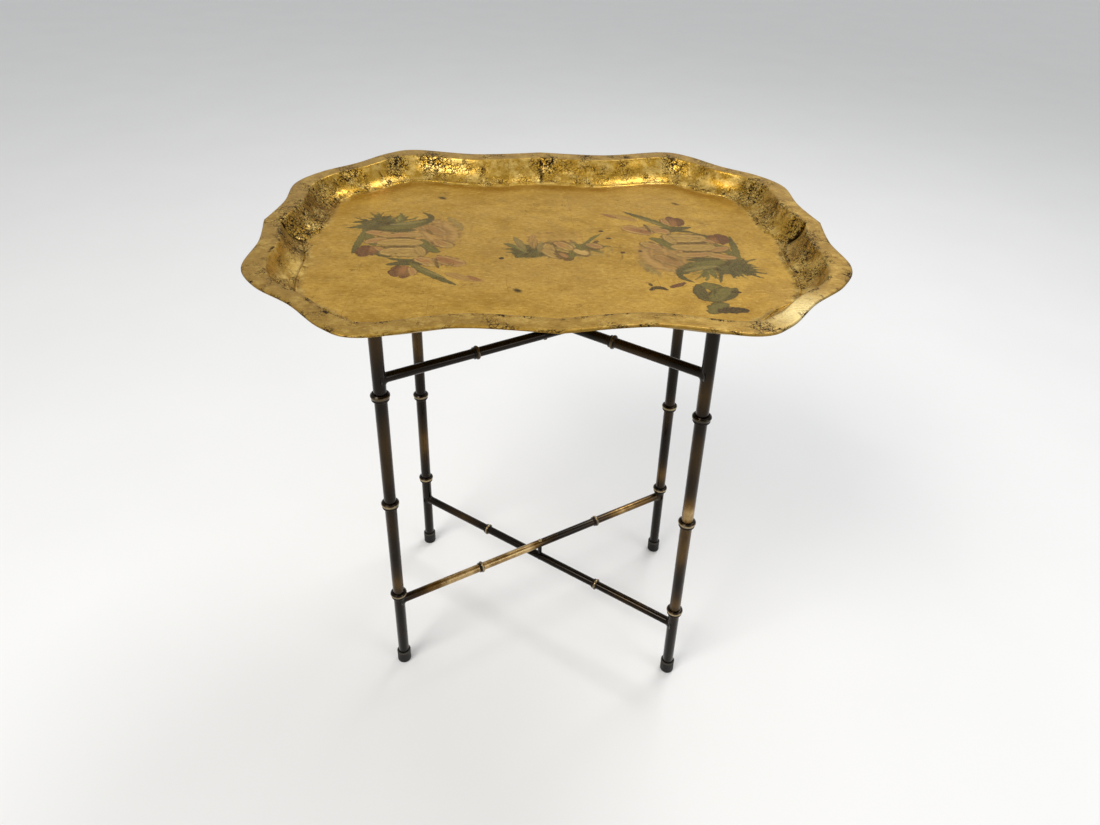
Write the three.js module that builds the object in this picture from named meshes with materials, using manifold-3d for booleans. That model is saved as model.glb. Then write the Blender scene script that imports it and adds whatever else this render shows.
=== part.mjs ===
// Folding tray table: a gilt scalloped tray resting on a folding stand of bamboo-style brass tube.
//
// Units are millimetres and +Z is up. The origin is on the floor, under the middle of the tray.
// +X runs along the tray's long side and -Y is the front. The stand has two flat frames that cross
// like an X when seen from above. Each frame has two legs joined by an upper and a lower stretcher.
// The frames pivot on two rivets on the line x = y = 0.

import * as THREE from 'three';
import { mergeVertices } from 'three/addons/utils/BufferGeometryUtils.js';
import Module from 'manifold-3d';

const wasm = await Module();
wasm.setup();

// ---------------------------------------------------------------- driving dimensions

const GAP = 0.3;                    // left between pieces that touch

const RIM_HEIGHT = 690;             // floor to the top of the tray's rim
const TRAY_DEPTH = 27;              // rim to the tray's inner floor
const TRAY_THICKNESS = 4;           // the tray's floor

const LEG_TUBE = { radius: 8, wall: 1.2, sides: 20 };
const STRETCHER_TUBE = { radius: 6.35, wall: 1.2, sides: 16 };
const LEG_SPREAD_AT_FLOOR = 246;    // pivot line to the leg's axis
const LEG_LEAN = 0.039;             // inward travel of a leg for each unit of height
const HALF_CROSSING = 31.3;         // degrees from the stand's long axis to each frame
const STAND_TURN = -4.4;            // degrees that the stand is turned under the tray

const LEG_RING_HEIGHTS = [155.5, 336, 511];
const LEG_RING = { radius: 12, halfHeight: 5, sides: 16 };
const STRETCHER_RING = { radius: 9, halfHeight: 4, sides: 14 };
const STRETCHER_RING_PLACE = 0.22;  // ring to the middle, as a share of the stretcher's span

const FOOT = { radius: 10.5, height: 24, sole: 4, sides: 20 };
const PLUG = { head: 3, stem: 12, sides: 16 };
const RIVET = { radius: 1.9, headRadius: 3.2, headHeight: 1.6, sides: 16 };
const SPACER_RADIUS = 3.3;

const QUARTER_STEPS = 24;           // points around a quarter of the tray

// Each frame names the ends on its +X and -X side. ringShift is how far that leg's rings sit from
// the common heights, because the stand was put together by hand.
const FRAMES = [
  {
    name: 'a',
    angle: HALF_CROSSING + STAND_TURN,
    ends: [{ side: 1, name: 'back_right', ringShift: 1 }, { side: -1, name: 'front_left', ringShift: 0 }],
    stretchers: { lower: 139.8, upper: 535.1 },
  },
  {
    name: 'b',
    angle: -HALF_CROSSING + STAND_TURN,
    ends: [{ side: 1, name: 'front_right', ringShift: -14 }, { side: -1, name: 'back_left', ringShift: 5 }],
    stretchers: { lower: 110.4, upper: 558.1 },
  },
];

// A quarter of the tray's edge, from the middle of a short side to the middle of a long side, and
// the matching points at the foot of its wall. The other three quarters are mirror images, and they
// meet at a crease in the middle of each side.
const RIM_QUARTER = [
  [328, 0], [319, 58], [320, 120], [296, 163], [254, 200], [216, 243], [178, 260], [92, 243], [0, 254],
];
const WALL_FOOT_QUARTER = [
  [286, 0], [272, 48], [270, 102], [258, 142], [226, 168], [202, 191], [168, 204], [82, 188], [0, 199],
];

// The tray's section. share is 0 at the rim's edge and 1 at the foot of the wall, and drop is
// measured down from the rim.
const TRAY_TOP = [
  [0.0, 0.6], [0.05, 0.0], [0.46, 0.8], [0.5, 4.5], [0.56, 11], [0.66, 18.5], [0.8, 24], [0.9, 26.4],
  [1.0, TRAY_DEPTH],
];
const TRAY_UNDERSIDE = [
  [1.0, TRAY_DEPTH + TRAY_THICKNESS], [0.93, TRAY_DEPTH + TRAY_THICKNESS - 0.5], [0.8, 26.7], [0.66, 21.7],
  [0.55, 15.5], [0.48, 9.5], [0.43, 5.5], [0.37, 4], [0.0, 3],
];

// ---------------------------------------------------------------- materials

const gilt = () => new THREE.MeshStandardMaterial({ color: 0xb98f45, metalness: 0.6, roughness: 0.35 });
const antiqueBrass = () => new THREE.MeshStandardMaterial({ color: 0x3a2814, metalness: 0.9, roughness: 0.35 });
const rubber = () => new THREE.MeshStandardMaterial({ color: 0x1a1714, metalness: 0, roughness: 0.8 });

// ---------------------------------------------------------------- geometry helpers

// Turns a [radius, height] profile about the Z axis. The profile runs anticlockwise.
function turned(profile, sides) {
  const points = profile.map(([radius, height]) => new THREE.Vector2(radius, height));
  return new THREE.LatheGeometry(points, sides).rotateX(Math.PI / 2);
}

function turnedRing(profile, sides) {
  return turned([...profile, profile[0]], sides);
}

function tube({ radius, wall, sides }, length) {
  const bore = radius - wall;
  return turnedRing([[bore, 0], [radius, 0], [radius, length], [bore, length]], sides);
}

function rod(radius, length, sides) {
  return turned([[0, 0], [radius, 0], [radius, length], [0, length]], sides);
}

// A rounded bead that fits round a tube, centred on the origin.
function bead(tubeRadius, { radius, halfHeight, sides }) {
  const bore = tubeRadius + GAP;
  const waist = radius - 1.6;
  const flat = halfHeight * 0.45;
  const profile = [
    [bore, -halfHeight], [waist, -halfHeight], [radius, -flat],
    [radius, flat], [waist, halfHeight], [bore, halfHeight],
  ];
  return turnedRing(profile, sides);
}

// Slides each level of a shape sideways, so that a piece made upright follows its leaning leg.
function leaning(geometry, side) {
  const shear = new THREE.Matrix4().makeShear(0, 0, 0, 0, -side * LEG_LEAN, 0);
  return geometry.applyMatrix4(shear).translate(side * LEG_SPREAD_AT_FLOOR, 0, 0);
}

function toSolid(geometry) {
  geometry.deleteAttribute('normal');
  geometry.deleteAttribute('uv');
  const merged = mergeVertices(geometry, 1e-4);
  const vertProperties = new Float32Array(merged.attributes.position.array);
  const triVerts = new Uint32Array(merged.index.array);
  return new wasm.Manifold(new wasm.Mesh({ numProp: 3, vertProperties, triVerts }));
}

function toGeometry(solid) {
  const mesh = solid.getMesh();
  const geometry = new THREE.BufferGeometry();
  geometry.setAttribute('position', new THREE.BufferAttribute(mesh.vertProperties, 3));
  geometry.setIndex(new THREE.BufferAttribute(mesh.triVerts, 1));
  geometry.computeVertexNormals();
  return geometry;
}

function cut(geometry, tools) {
  const solid = tools.reduce((body, tool) => body.subtract(toSolid(tool)), toSolid(geometry));
  return toGeometry(solid);
}

function named(name, geometry, material) {
  const mesh = new THREE.Mesh(geometry, material);
  mesh.name = name;
  return mesh;
}

// ---------------------------------------------------------------- tray

// The points of a closed outline: a smooth curve through a quarter of it, and the mirror images.
function outline(quarter) {
  const curve = new THREE.SplineCurve(quarter.map(([x, y]) => new THREE.Vector2(x, y)));
  const first = curve.getPoints(QUARTER_STEPS);
  const second = first.map(({ x, y }) => new THREE.Vector2(-x, y)).reverse();
  const half = [...first.slice(0, -1), ...second.slice(0, -1)];
  return [...half, ...half.map(({ x, y }) => new THREE.Vector2(-x, -y))];
}

function tray() {
  const rim = outline(RIM_QUARTER);
  const foot = outline(WALL_FOOT_QUARTER);
  const steps = rim.length;
  const section = [...TRAY_TOP, ...TRAY_UNDERSIDE];
  const positions = [];
  for (const [share, drop] of section) {
    for (let i = 0; i < steps; i += 1) {
      const point = rim[i].clone().lerp(foot[i], share);
      positions.push(point.x, point.y, RIM_HEIGHT - drop);
    }
  }
  const middleTop = positions.length / 3;
  positions.push(0, 0, RIM_HEIGHT - TRAY_DEPTH);
  positions.push(0, 0, RIM_HEIGHT - TRAY_DEPTH - TRAY_THICKNESS);

  const faces = [];
  const at = (ring, i) => (ring % section.length) * steps + (i % steps);
  const floorRing = TRAY_TOP.length - 1;
  for (let ring = 0; ring < section.length; ring += 1) {
    for (let i = 0; i < steps; i += 1) {
      if (ring === floorRing) {
        faces.push(at(ring, i), at(ring, i + 1), middleTop);
        faces.push(at(ring + 1, i + 1), at(ring + 1, i), middleTop + 1);
      } else {
        faces.push(at(ring, i), at(ring, i + 1), at(ring + 1, i));
        faces.push(at(ring + 1, i), at(ring, i + 1), at(ring + 1, i + 1));
      }
    }
  }
  const geometry = new THREE.BufferGeometry();
  geometry.setAttribute('position', new THREE.Float32BufferAttribute(positions, 3));
  geometry.setIndex(faces);
  geometry.computeVertexNormals();
  return named('tray', geometry, gilt());
}

// ---------------------------------------------------------------- legs

const plugTop = RIM_HEIGHT - TRAY_DEPTH - TRAY_THICKNESS - GAP;
const legTop = plugTop - PLUG.head - GAP;
const legBottom = FOOT.sole + GAP;

function leg({ side, name }) {
  const geometry = tube(LEG_TUBE, legTop - legBottom).translate(0, 0, legBottom);
  return named(`leg_${name}`, leaning(geometry, side), antiqueBrass());
}

function legRings({ side, name, ringShift }) {
  return LEG_RING_HEIGHTS.map((height, i) => {
    const geometry = bead(LEG_TUBE.radius, LEG_RING).translate(0, 0, height + ringShift);
    return named(`leg_ring_${name}_${i + 1}`, leaning(geometry, side), antiqueBrass());
  });
}

// A rubber cup that the bottom of the tube stands in.
function foot({ side, name }) {
  const bore = LEG_TUBE.radius + GAP;
  const profile = [
    [0, 0], [FOOT.radius - 1.8, 0], [FOOT.radius, 1.8], [FOOT.radius, FOOT.height - 2],
    [FOOT.radius - 1.1, FOOT.height], [bore, FOOT.height], [bore, FOOT.sole], [0, FOOT.sole],
  ];
  return named(`foot_${name}`, leaning(turned(profile, FOOT.sides), side), rubber());
}

// A plug with a low domed head that closes the top of the tube and carries the tray.
function topPlug({ side, name }) {
  const stemRadius = LEG_TUBE.radius - LEG_TUBE.wall - GAP;
  const headBase = legTop + GAP;
  const profile = [
    [0, legTop - PLUG.stem], [stemRadius, legTop - PLUG.stem], [stemRadius, headBase],
    [LEG_TUBE.radius, headBase], [LEG_TUBE.radius, headBase + PLUG.head * 0.5],
    [LEG_TUBE.radius - 2.5, plugTop], [0, plugTop],
  ];
  return named(`top_plug_${name}`, leaning(turned(profile, PLUG.sides), side), rubber());
}

// ---------------------------------------------------------------- stretchers and pivots

const spanAt = (height) => LEG_SPREAD_AT_FLOOR - LEG_LEAN * height;

function alongX(geometry) {
  return geometry.rotateY(Math.PI / 2);
}

// A tube between two legs, with its ends coped to fit them and a hole for the rivet.
function stretcher(frame, level) {
  const height = frame.stretchers[level];
  const span = spanAt(height);
  const bar = alongX(tube(STRETCHER_TUBE, 2 * span)).translate(-span, 0, height);
  const legTools = [1, -1].map((side) => leaning(rod(LEG_TUBE.radius + GAP, legTop, LEG_TUBE.sides), side));
  const holeLength = 4 * STRETCHER_TUBE.radius;
  const hole = rod(RIVET.radius + GAP, holeLength, RIVET.sides).translate(0, 0, height - holeLength / 2);
  return named(`stretcher_${level}_${frame.name}`, cut(bar, [...legTools, hole]), antiqueBrass());
}

function stretcherRings(frame, level) {
  const height = frame.stretchers[level];
  return [1, -1].map((side, i) => {
    const place = side * STRETCHER_RING_PLACE * 2 * spanAt(height);
    const geometry = alongX(bead(STRETCHER_TUBE.radius, STRETCHER_RING)).translate(place, 0, height);
    return named(`stretcher_ring_${level}_${frame.name}_${i + 1}`, geometry, antiqueBrass());
  });
}

// The rivet runs down through both stretchers, with a domed head at each end.
function pivotRivet(level, low, high) {
  const bottom = low - STRETCHER_TUBE.radius - GAP;
  const top = high + STRETCHER_TUBE.radius + GAP;
  const { radius, headRadius, headHeight } = RIVET;
  const profile = [
    [0, bottom - headHeight], [headRadius * 0.7, bottom - headHeight * 0.7], [headRadius, bottom],
    [radius, bottom], [radius, top],
    [headRadius, top], [headRadius * 0.7, top + headHeight * 0.7], [0, top + headHeight],
  ];
  return named(`pivot_rivet_${level}`, turned(profile, RIVET.sides), antiqueBrass());
}

// A sleeve round the rivet that keeps the two stretchers apart.
function pivotSpacer(level, low, high) {
  const bore = RIVET.radius + GAP;
  const base = low + STRETCHER_TUBE.radius + GAP;
  const length = high - low - 2 * (STRETCHER_TUBE.radius + GAP);
  const sleeve = { radius: SPACER_RADIUS, wall: SPACER_RADIUS - bore, sides: RIVET.sides };
  return named(`pivot_spacer_${level}`, tube(sleeve, length).translate(0, 0, base), antiqueBrass());
}

function pivot(level) {
  const [low, high] = FRAMES.map((frame) => frame.stretchers[level]).sort((p, q) => p - q);
  return [pivotRivet(level, low, high), pivotSpacer(level, low, high)];
}

// ---------------------------------------------------------------- assembly

function frameGroup(frame) {
  const group = new THREE.Group();
  group.rotation.z = THREE.MathUtils.degToRad(frame.angle);
  for (const end of frame.ends) {
    group.add(leg(end), ...legRings(end), foot(end), topPlug(end));
  }
  for (const level of ['lower', 'upper']) {
    group.add(stretcher(frame, level), ...stretcherRings(frame, level));
  }
  return group;
}

const table = new THREE.Group();
table.add(tray(), ...FRAMES.map(frameGroup), ...pivot('lower'), ...pivot('upper'));

export default table;
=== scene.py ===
"""A gilt, scalloped tray on a folding stand of bamboo-style antiqued brass tube.

Every piece is built in metres, +Z up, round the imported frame. The tray and each piece of the stand
replace their plain CAD nodes with a finer shape and a procedural material.
"""

import math

import bpy
import numpy as np
from mathutils import Matrix, Vector
from mathutils.geometry import delaunay_2d_cdt


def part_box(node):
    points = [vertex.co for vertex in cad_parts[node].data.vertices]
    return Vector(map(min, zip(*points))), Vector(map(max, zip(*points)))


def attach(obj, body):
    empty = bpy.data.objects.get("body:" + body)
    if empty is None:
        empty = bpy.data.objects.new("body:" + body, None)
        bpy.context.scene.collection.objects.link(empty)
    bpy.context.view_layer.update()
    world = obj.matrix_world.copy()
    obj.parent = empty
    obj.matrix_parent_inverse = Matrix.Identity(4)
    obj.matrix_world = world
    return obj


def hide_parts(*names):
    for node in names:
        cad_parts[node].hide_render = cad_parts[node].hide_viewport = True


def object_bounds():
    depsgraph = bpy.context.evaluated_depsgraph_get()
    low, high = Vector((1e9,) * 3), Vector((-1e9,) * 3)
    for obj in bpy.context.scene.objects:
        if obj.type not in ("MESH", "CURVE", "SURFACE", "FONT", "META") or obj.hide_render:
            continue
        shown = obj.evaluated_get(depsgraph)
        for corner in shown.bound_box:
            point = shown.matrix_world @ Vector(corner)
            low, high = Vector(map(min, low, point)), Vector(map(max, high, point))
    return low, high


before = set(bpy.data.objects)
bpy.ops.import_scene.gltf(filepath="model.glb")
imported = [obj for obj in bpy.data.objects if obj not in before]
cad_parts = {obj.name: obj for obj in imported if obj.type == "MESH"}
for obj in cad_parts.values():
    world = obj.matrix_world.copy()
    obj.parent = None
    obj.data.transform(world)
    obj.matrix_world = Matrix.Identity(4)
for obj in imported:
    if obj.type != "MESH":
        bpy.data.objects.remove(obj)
cad_low, cad_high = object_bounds()

MM = 0.001

# ---- driving dimensions

RIM_HEIGHT = cad_high.z
TRAY_DEPTH = 27 * MM  # rim to the tray's inner floor
TRAY_THICKNESS = 4 * MM
QUARTER_STEPS = 160  # points around a quarter of the tray
PAINT_SPACING = 1.4 * MM  # floor vertices where flowers are painted
PLAIN_SPACING = 8 * MM  # floor vertices elsewhere

# A quarter of the tray's edge and of the foot of its wall, in millimetres, from the middle of a
# short side to the middle of a long side.
RIM_QUARTER = [
    (328, 0), (319, 58), (320, 120), (296, 163), (254, 200), (216, 243), (178, 260), (92, 243), (0, 254),
]
WALL_FOOT_QUARTER = [
    (286, 0), (272, 48), (270, 102), (258, 142), (226, 168), (202, 191), (168, 204), (82, 188), (0, 199),
]

LEG_RADIUS, LEG_BORE = 8 * MM, 6.8 * MM
LEG_BEAD = (8 * MM, 12 * MM, 5 * MM)  # a bead's bore, outer radius and half height
STRETCHER_RADIUS = 6.35 * MM
STRETCHER_BEAD = (6.35 * MM, 9 * MM, 4 * MM)
BRAZE = 3.5 * MM  # size of the fillet where a stretcher meets a leg
BRAZE_SINK = 0.25 * MM  # how far that fillet reaches into the leg
BRAZE_END = 30 * MM  # from a leg's axis to where its stretcher's plain tube starts
FOOT_RADIUS, FOOT_BORE, FOOT_SOLE = 10.4 * MM, 8.1 * MM, 4 * MM
PLUG_STEM, PLUG_HEAD = 6.5 * MM, 3 * MM  # the stem's radius and the head's height
RIVET_SHAFT, RIVET_HEAD, RIVET_DOME = 1.9 * MM, 3.2 * MM, 1.6 * MM
SPACER_BORE, SPACER_RADIUS, SPACER_BEVEL = 2.2 * MM, 3.3 * MM, 0.3 * MM

FRAME_OF_LEG = {
    "front_left": "frame_a", "back_right": "frame_a", "front_right": "frame_b", "back_left": "frame_b",
}
# The legs at each end of a frame's stretchers, the one towards +X first.
STRETCHER_ENDS = {"a": ("back_right", "front_left"), "b": ("front_right", "back_left")}

STAGE_REACH = 40.0
CAMERA_PLACE = (-0.0457, -0.8195, 1.0265)
CAMERA_TURN = (3.86, 37.04, 1.81)  # yaw, pitch and roll in degrees
CAMERA_LENS, CAMERA_SENSOR = 23.876, 36


# ---- small maths helpers

def smooth(low, high, value):
    """0 below low, 1 above high, and a smooth rise between them."""
    t = np.clip((value - low) / (high - low), 0, 1)
    return t * t * (3 - 2 * t)


def hump(value, centre, width):
    """1 at the centre, falling smoothly to almost 0 at twice the width from it."""
    return np.exp(-((value - centre) / width) ** 2)


def ripple(x, y, scale, seed):
    """Smooth waves between about -1 and 1, with features about scale across."""
    rng = np.random.default_rng(seed)
    total = np.zeros_like(x)
    for _ in range(8):
        angle, phase = rng.uniform(0, 2 * np.pi, 2)
        length = scale * rng.uniform(0.6, 1.8)
        along = x * np.cos(angle) + y * np.sin(angle)
        total += np.sin(along * 2 * np.pi / length + phase)
    return total / 3.2


def spline(points, places):
    """A smooth curve through the points, at places counted in spans from the first point."""
    knots = np.array([points[0], *points, points[-1]], float)
    spans = len(points) - 1
    result = []
    for place in places:
        k = min(int(place), spans - 1)
        f = place - k
        a, b, c, d = knots[k:k + 4]
        cubic = 3 * b - a - 3 * c + d
        square = 2 * a - 5 * b + 4 * c - d
        result.append(0.5 * (2 * b + (c - a) * f + square * f * f + cubic * f ** 3))
    return np.array(result)


# ---- mesh helpers

def mesh_object(name, vertices, faces, material, floats=None, colours=None, sharp=None):
    """A smooth-shaded object. floats and colours are named values for each vertex."""
    mesh = bpy.data.meshes.new(name)
    mesh.from_pydata([tuple(v) for v in vertices], [], [tuple(f) for f in faces])
    mesh.shade_smooth()
    if sharp is not None:
        mesh.set_sharp_from_angle(angle=math.radians(sharp))
    for key, values in (floats or {}).items():
        layer = mesh.attributes.new(key, "FLOAT", "POINT")
        layer.data.foreach_set("value", np.asarray(values, np.float32))
    for key, values in (colours or {}).items():
        layer = mesh.attributes.new(key, "FLOAT_COLOR", "POINT")
        layer.data.foreach_set("color", np.asarray(values, np.float32).ravel())
    mesh.materials.append(material)
    obj = bpy.data.objects.new(name, mesh)
    bpy.context.scene.collection.objects.link(obj)
    return obj


def place(obj, body, slot, *nodes):
    """Puts a finished piece on its body, in place of the CAD nodes it stands for."""
    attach(obj, body)
    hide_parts(*nodes)


def circles(profile, sides):
    """One circle of vertices about Z for each (radius, height) of a profile."""
    turns = np.arange(sides) * 2 * np.pi / sides
    return [np.stack([r * np.cos(turns), r * np.sin(turns), np.full(sides, z)], 1) for r, z in profile]


def band(a, b, count):
    """The faces between two closed rows of count vertices, which start at a and b."""
    return [(a + i, a + (i + 1) % count, b + (i + 1) % count, b + i) for i in range(count)]


def turned(profile, sides):
    """Vertices and faces of a (radius, height) profile turned about Z. Both ends are on the axis."""
    rings = circles(profile[1:-1], sides)
    vertices = np.vstack([*rings, [[0, 0, profile[0][1]], [0, 0, profile[-1][1]]]])
    bottom, top = len(vertices) - 2, len(vertices) - 1
    last = (len(rings) - 1) * sides
    faces = []
    for i in range(sides):
        j = (i + 1) % sides
        faces.append((bottom, j, i))
        faces.append((top, last + i, last + j))
    for ring in range(len(rings) - 1):
        faces += band(ring * sides, (ring + 1) * sides, sides)
    return vertices, faces


def turned_ring(profile, sides):
    """As turned, for a profile that closes on itself round a bore."""
    faces = []
    for ring in range(len(profile)):
        faces += band(ring * sides, (ring + 1) % len(profile) * sides, sides)
    return np.vstack(circles(profile, sides)), faces


def arc(centre, radius, start, end, steps):
    """Points on an arc in a profile, with angles in degrees."""
    angles = np.radians(np.linspace(start, end, steps + 1))
    return [(centre[0] + radius * math.cos(a), centre[1] + radius * math.sin(a)) for a in angles]


def moved(vertices, origin, direction):
    """Turns points made round +Z so that they run along direction from origin."""
    turn = Vector((0, 0, 1)).rotation_difference(Vector(direction)).to_matrix()
    return np.asarray(vertices) @ np.array(turn).T + np.array(origin)


# ---- material helper

class Nodes:
    """Short calls that build one material's nodes."""

    def __init__(self, name):
        self.material = bpy.data.materials.new(name)
        self.material.use_nodes = True
        self.tree = self.material.node_tree
        self.shader = self.tree.nodes["Principled BSDF"]
        coords = self.tree.nodes.new("ShaderNodeTexCoord")
        self.place = coords.outputs["Object"]

    def set(self, **sockets):
        """Sets or joins the shader's own sockets, with _ for a space in a socket's name."""
        for key, value in sockets.items():
            self.link(value, self.shader.inputs[key.replace("_", " ")])

    def link(self, value, socket):
        """Joins another node's output to a socket, or sets the socket to a number."""
        if hasattr(value, "is_linked"):
            self.tree.links.new(value, socket)
        else:
            socket.default_value = value

    def node(self, kind, inputs, output=0, **settings):
        """Adds a node. inputs gives each input a number or another node's output."""
        node = self.tree.nodes.new("ShaderNode" + kind)
        for key, value in settings.items():
            setattr(node, key, value)
        for key, value in inputs.items():
            self.link(value, node.inputs[key])
        return node.outputs[output]

    def maths(self, operation, a, b=0.0):
        return self.node("Math", {0: a, 1: b}, operation=operation)

    def plus(self, total, *more):
        for value in more:
            total = self.maths("ADD", total, value)
        return total

    def less(self, a, b):
        return self.maths("SUBTRACT", a, b)

    def times(self, a, b):
        return self.maths("MULTIPLY", a, b)

    def inverse(self, a):
        return self.maths("SUBTRACT", 1.0, a)

    def mix(self, factor, a, b):
        a, b = ((*colour, 1) if isinstance(colour, tuple) else colour for colour in (a, b))
        return self.node("Mix", {0: factor, 6: a, 7: b}, 2, data_type="RGBA")

    def layers(self, base, *coats):
        """Lays coats over a base in turn, each given as (mask, colour)."""
        for mask, colour in coats:
            base = self.mix(mask, base, colour)
        return base

    def step(self, value, low, high, start=0.0, end=1.0):
        """A smooth rise from start to end as value goes from low to high."""
        inputs = {0: value, 1: low, 2: high, 3: start, 4: end}
        return self.node("MapRange", inputs, interpolation_type="SMOOTHSTEP")

    def noise(self, scale, detail=4.0, roughness=0.55, place=None, output="Fac"):
        inputs = {"Vector": place or self.place, "Scale": scale, "Detail": detail, "Roughness": roughness}
        return self.node("TexNoise", inputs, output)

    def cells(self, scale, place):
        """Distance to the nearest edge of a net of irregular cells."""
        inputs = {"Vector": place, "Scale": scale}
        return self.node("TexVoronoi", inputs, "Distance", feature="DISTANCE_TO_EDGE")

    def shaken(self, scale, amount):
        """The place, pushed about by noise."""
        push = self.noise(scale, 3.0, output="Color")
        return self.node("VectorMath", {0: push, 1: (amount,) * 3, 2: self.place}, operation="MULTIPLY_ADD")

    def stretched(self, x, y, z):
        return self.node("VectorMath", {0: self.place, 1: (x, y, z)}, operation="MULTIPLY")

    def value_of(self, name, output="Fac"):
        return self.node("Attribute", {}, output, attribute_name=name)

    def bump(self, height, strength, distance):
        inputs = {"Strength": strength, "Distance": distance, "Height": height}
        self.set(Normal=self.node("Bump", inputs))


# ---- materials

LEAF_SQUARE = 82 * MM  # side of one square of gold leaf

# Flakes of three sizes: the noise's scale and detail, and its limit on new and on worn leaf.
FLAKES = [(190.0, 6.0, 0.80, 0.53), (380.0, 4.0, 0.79, 0.56), (640.0, 2.0, 0.75, 0.60)]
CRACKLE_NETS = [(115.0, 0.055), (230.0, 0.085)]  # each net's scale and the width of its lines

# Colours are linear.
GOLD_DEEP = (0.24, 0.115, 0.006)
GOLD_WARM = (0.45, 0.26, 0.032)
GOLD_PALE = (0.70, 0.49, 0.14)
# colour of the painted highlight on the lip
HIGHLIGHT_GOLD = (0.86, 0.70, 0.32)
FLOOR_DEEP = (0.315, 0.172, 0.015)
FLOOR_PALE = (0.50, 0.30, 0.048)
FLOOR_TAN = (0.41, 0.245, 0.058)
# painted shade and reflection of the back wall on the floor
WALL_SHADE_OCHRE = (0.235, 0.105, 0.001)
LIP_OCHRE = (0.30, 0.175, 0.028)
# dark patina, also used as painted shade in the creases
PATINA_AND_SHADE = (0.05, 0.026, 0.004)
BARE_DARK = (0.022, 0.011, 0.003)
LACQUER_BLACK = (0.007, 0.004, 0.0012)
LACQUER_BROWN = (0.034, 0.018, 0.0035)
BRASS_GOLD = (0.17, 0.088, 0.017)
BRASS_PALE = (0.60, 0.42, 0.19)
# colour of the painted highlights on the beads and rivets
BRASS_HIGHLIGHT = (0.80, 0.60, 0.32)
RUBBER_DARK = (0.008, 0.007, 0.006)
RUBBER_DUSTY = (0.014, 0.012, 0.009)
RUBBER_SCUFF = (0.075, 0.065, 0.048)
STAGE_GREY = (0.82, 0.82, 0.81)
STAGE_WHITE = (0.86, 0.86, 0.85)


def gilt_material():
    """Aged gold leaf: mottled tone, leaf joins, painted flowers, dark wear, crackle and varnish, with
    painted shade and highlights.
    """
    n = Nodes("gilt_leaf")
    n.set(Coat_Weight=0.05, Coat_Roughness=0.15, Coat_IOR=1.5, Specular_IOR_Level=0.1)
    floor = n.value_of("floor_mask")
    lip = n.value_of("lip_mask")
    cover = n.value_of("cover")
    broad = n.noise(7.0, 4.0)
    mottle = n.noise(55.0, 7.0, 0.66, n.shaken(20.0, 0.02))
    smear = n.noise(34.0, 8.0, 0.68, n.stretched(0.7, 1.0, 1.0))
    brushed = n.noise(300.0, 5.0, 0.7, n.stretched(0.6, 1.0, 1.0))
    grain = n.noise(620.0, 3.0)

    leaf = n.layers(
        GOLD_DEEP,
        (n.step(broad, 0.25, 0.5), GOLD_WARM),
        (n.step(mottle, 0.42, 0.66, 0.0, 0.9), GOLD_PALE),
        (n.times(lip, n.step(mottle, 0.3, 0.75, 0.9, 0.5)), LIP_OCHRE),
        # painted highlight on the front right of the lip
        (n.times(n.value_of("lip_highlight"), n.step(brushed, 0.3, 0.6, 0.6, 1.0)), HIGHLIGHT_GOLD),
    )
    varnished = n.layers(
        FLOOR_DEEP,
        (n.step(smear, 0.26, 0.72), FLOOR_PALE),
        (n.step(broad, 0.4, 0.65, 0.0, 0.4), FLOOR_TAN),
        # painted shade and reflection of the back wall, on the floor along its foot
        (n.times(n.value_of("wall_shade"), n.step(mottle, 0.3, 0.7, 0.8, 1.0)), WALL_SHADE_OCHRE),
    )
    torn = n.times(n.less(mottle, 0.5), 0.9)
    painted = n.times(n.step(n.plus(cover, torn), 0.1, 0.7), n.step(grain, 0.35, 0.66, 0.98, 0.72))
    rubbed = rubbed_away(n, n.value_of("wear"))
    colour = n.layers(
        leaf,
        (floor, varnished),
        (n.step(brushed, 0.5, 0.68, 0.0, 0.6), GOLD_DEEP),
        (n.step(brushed, 0.46, 0.3, 0.0, 0.4), GOLD_PALE),
        (n.step(grain, 0.52, 0.72, 0.0, 0.4), GOLD_DEEP),
        (n.step(mottle, 0.42, 0.28, 0.0, 0.3), GOLD_DEEP),
        (leaf_joins(n), GOLD_DEEP),
        (painted, n.value_of("paint", "Color")),
        # dark patina in the hollows, with painted shade in the creases of the walls
        (n.times(n.value_of("patina_and_shade"), n.step(mottle, 0.3, 0.7, 0.4, 1.0)), PATINA_AND_SHADE),
        (rubbed, BARE_DARK),
    )
    leaf_left = n.inverse(n.times(painted, 0.8))
    metal = n.times(leaf_left, n.step(floor, 0.0, 1.0, 0.8, 0.35))
    metal = n.times(metal, n.step(lip, 0.0, 1.0, 1.0, 0.7))
    dull = n.times(n.maths("MAXIMUM", floor, lip), 0.1)
    rough = n.plus(n.step(mottle, 0.3, 0.7, 0.24, 0.4), n.times(rubbed, 0.3), dull)
    n.set(Base_Color=colour, Metallic=metal, Roughness=rough)
    relief = n.less(n.times(mottle, 0.7), n.times(rubbed, 0.6))
    relief = n.plus(relief, n.times(brushed, 0.3), n.times(grain, 0.12))
    flat = n.step(floor, 0.0, 1.0, 1.0, 0.25)
    n.bump(n.times(relief, flat), 0.6, 0.9 * MM)
    return n.material


def leaf_joins(n):
    """Faint uneven lines where the squares of leaf overlap."""
    parts = n.tree.nodes.new("ShaderNodeSeparateXYZ")
    n.link(n.shaken(14.0, 0.012), parts.inputs[0])
    lines = []
    for axis in (0, 1):
        cell = n.maths("FRACT", n.times(parts.outputs[axis], 1 / LEAF_SQUARE))
        to_line = n.maths("ABSOLUTE", n.less(cell, 0.5))
        lines.append(n.inverse(n.step(to_line, 0.0, 0.009)))
    broken = n.step(n.noise(24.0, 4.0), 0.45, 0.6, 0.0, 0.5)
    return n.times(n.maths("MAXIMUM", *lines), broken)


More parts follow.
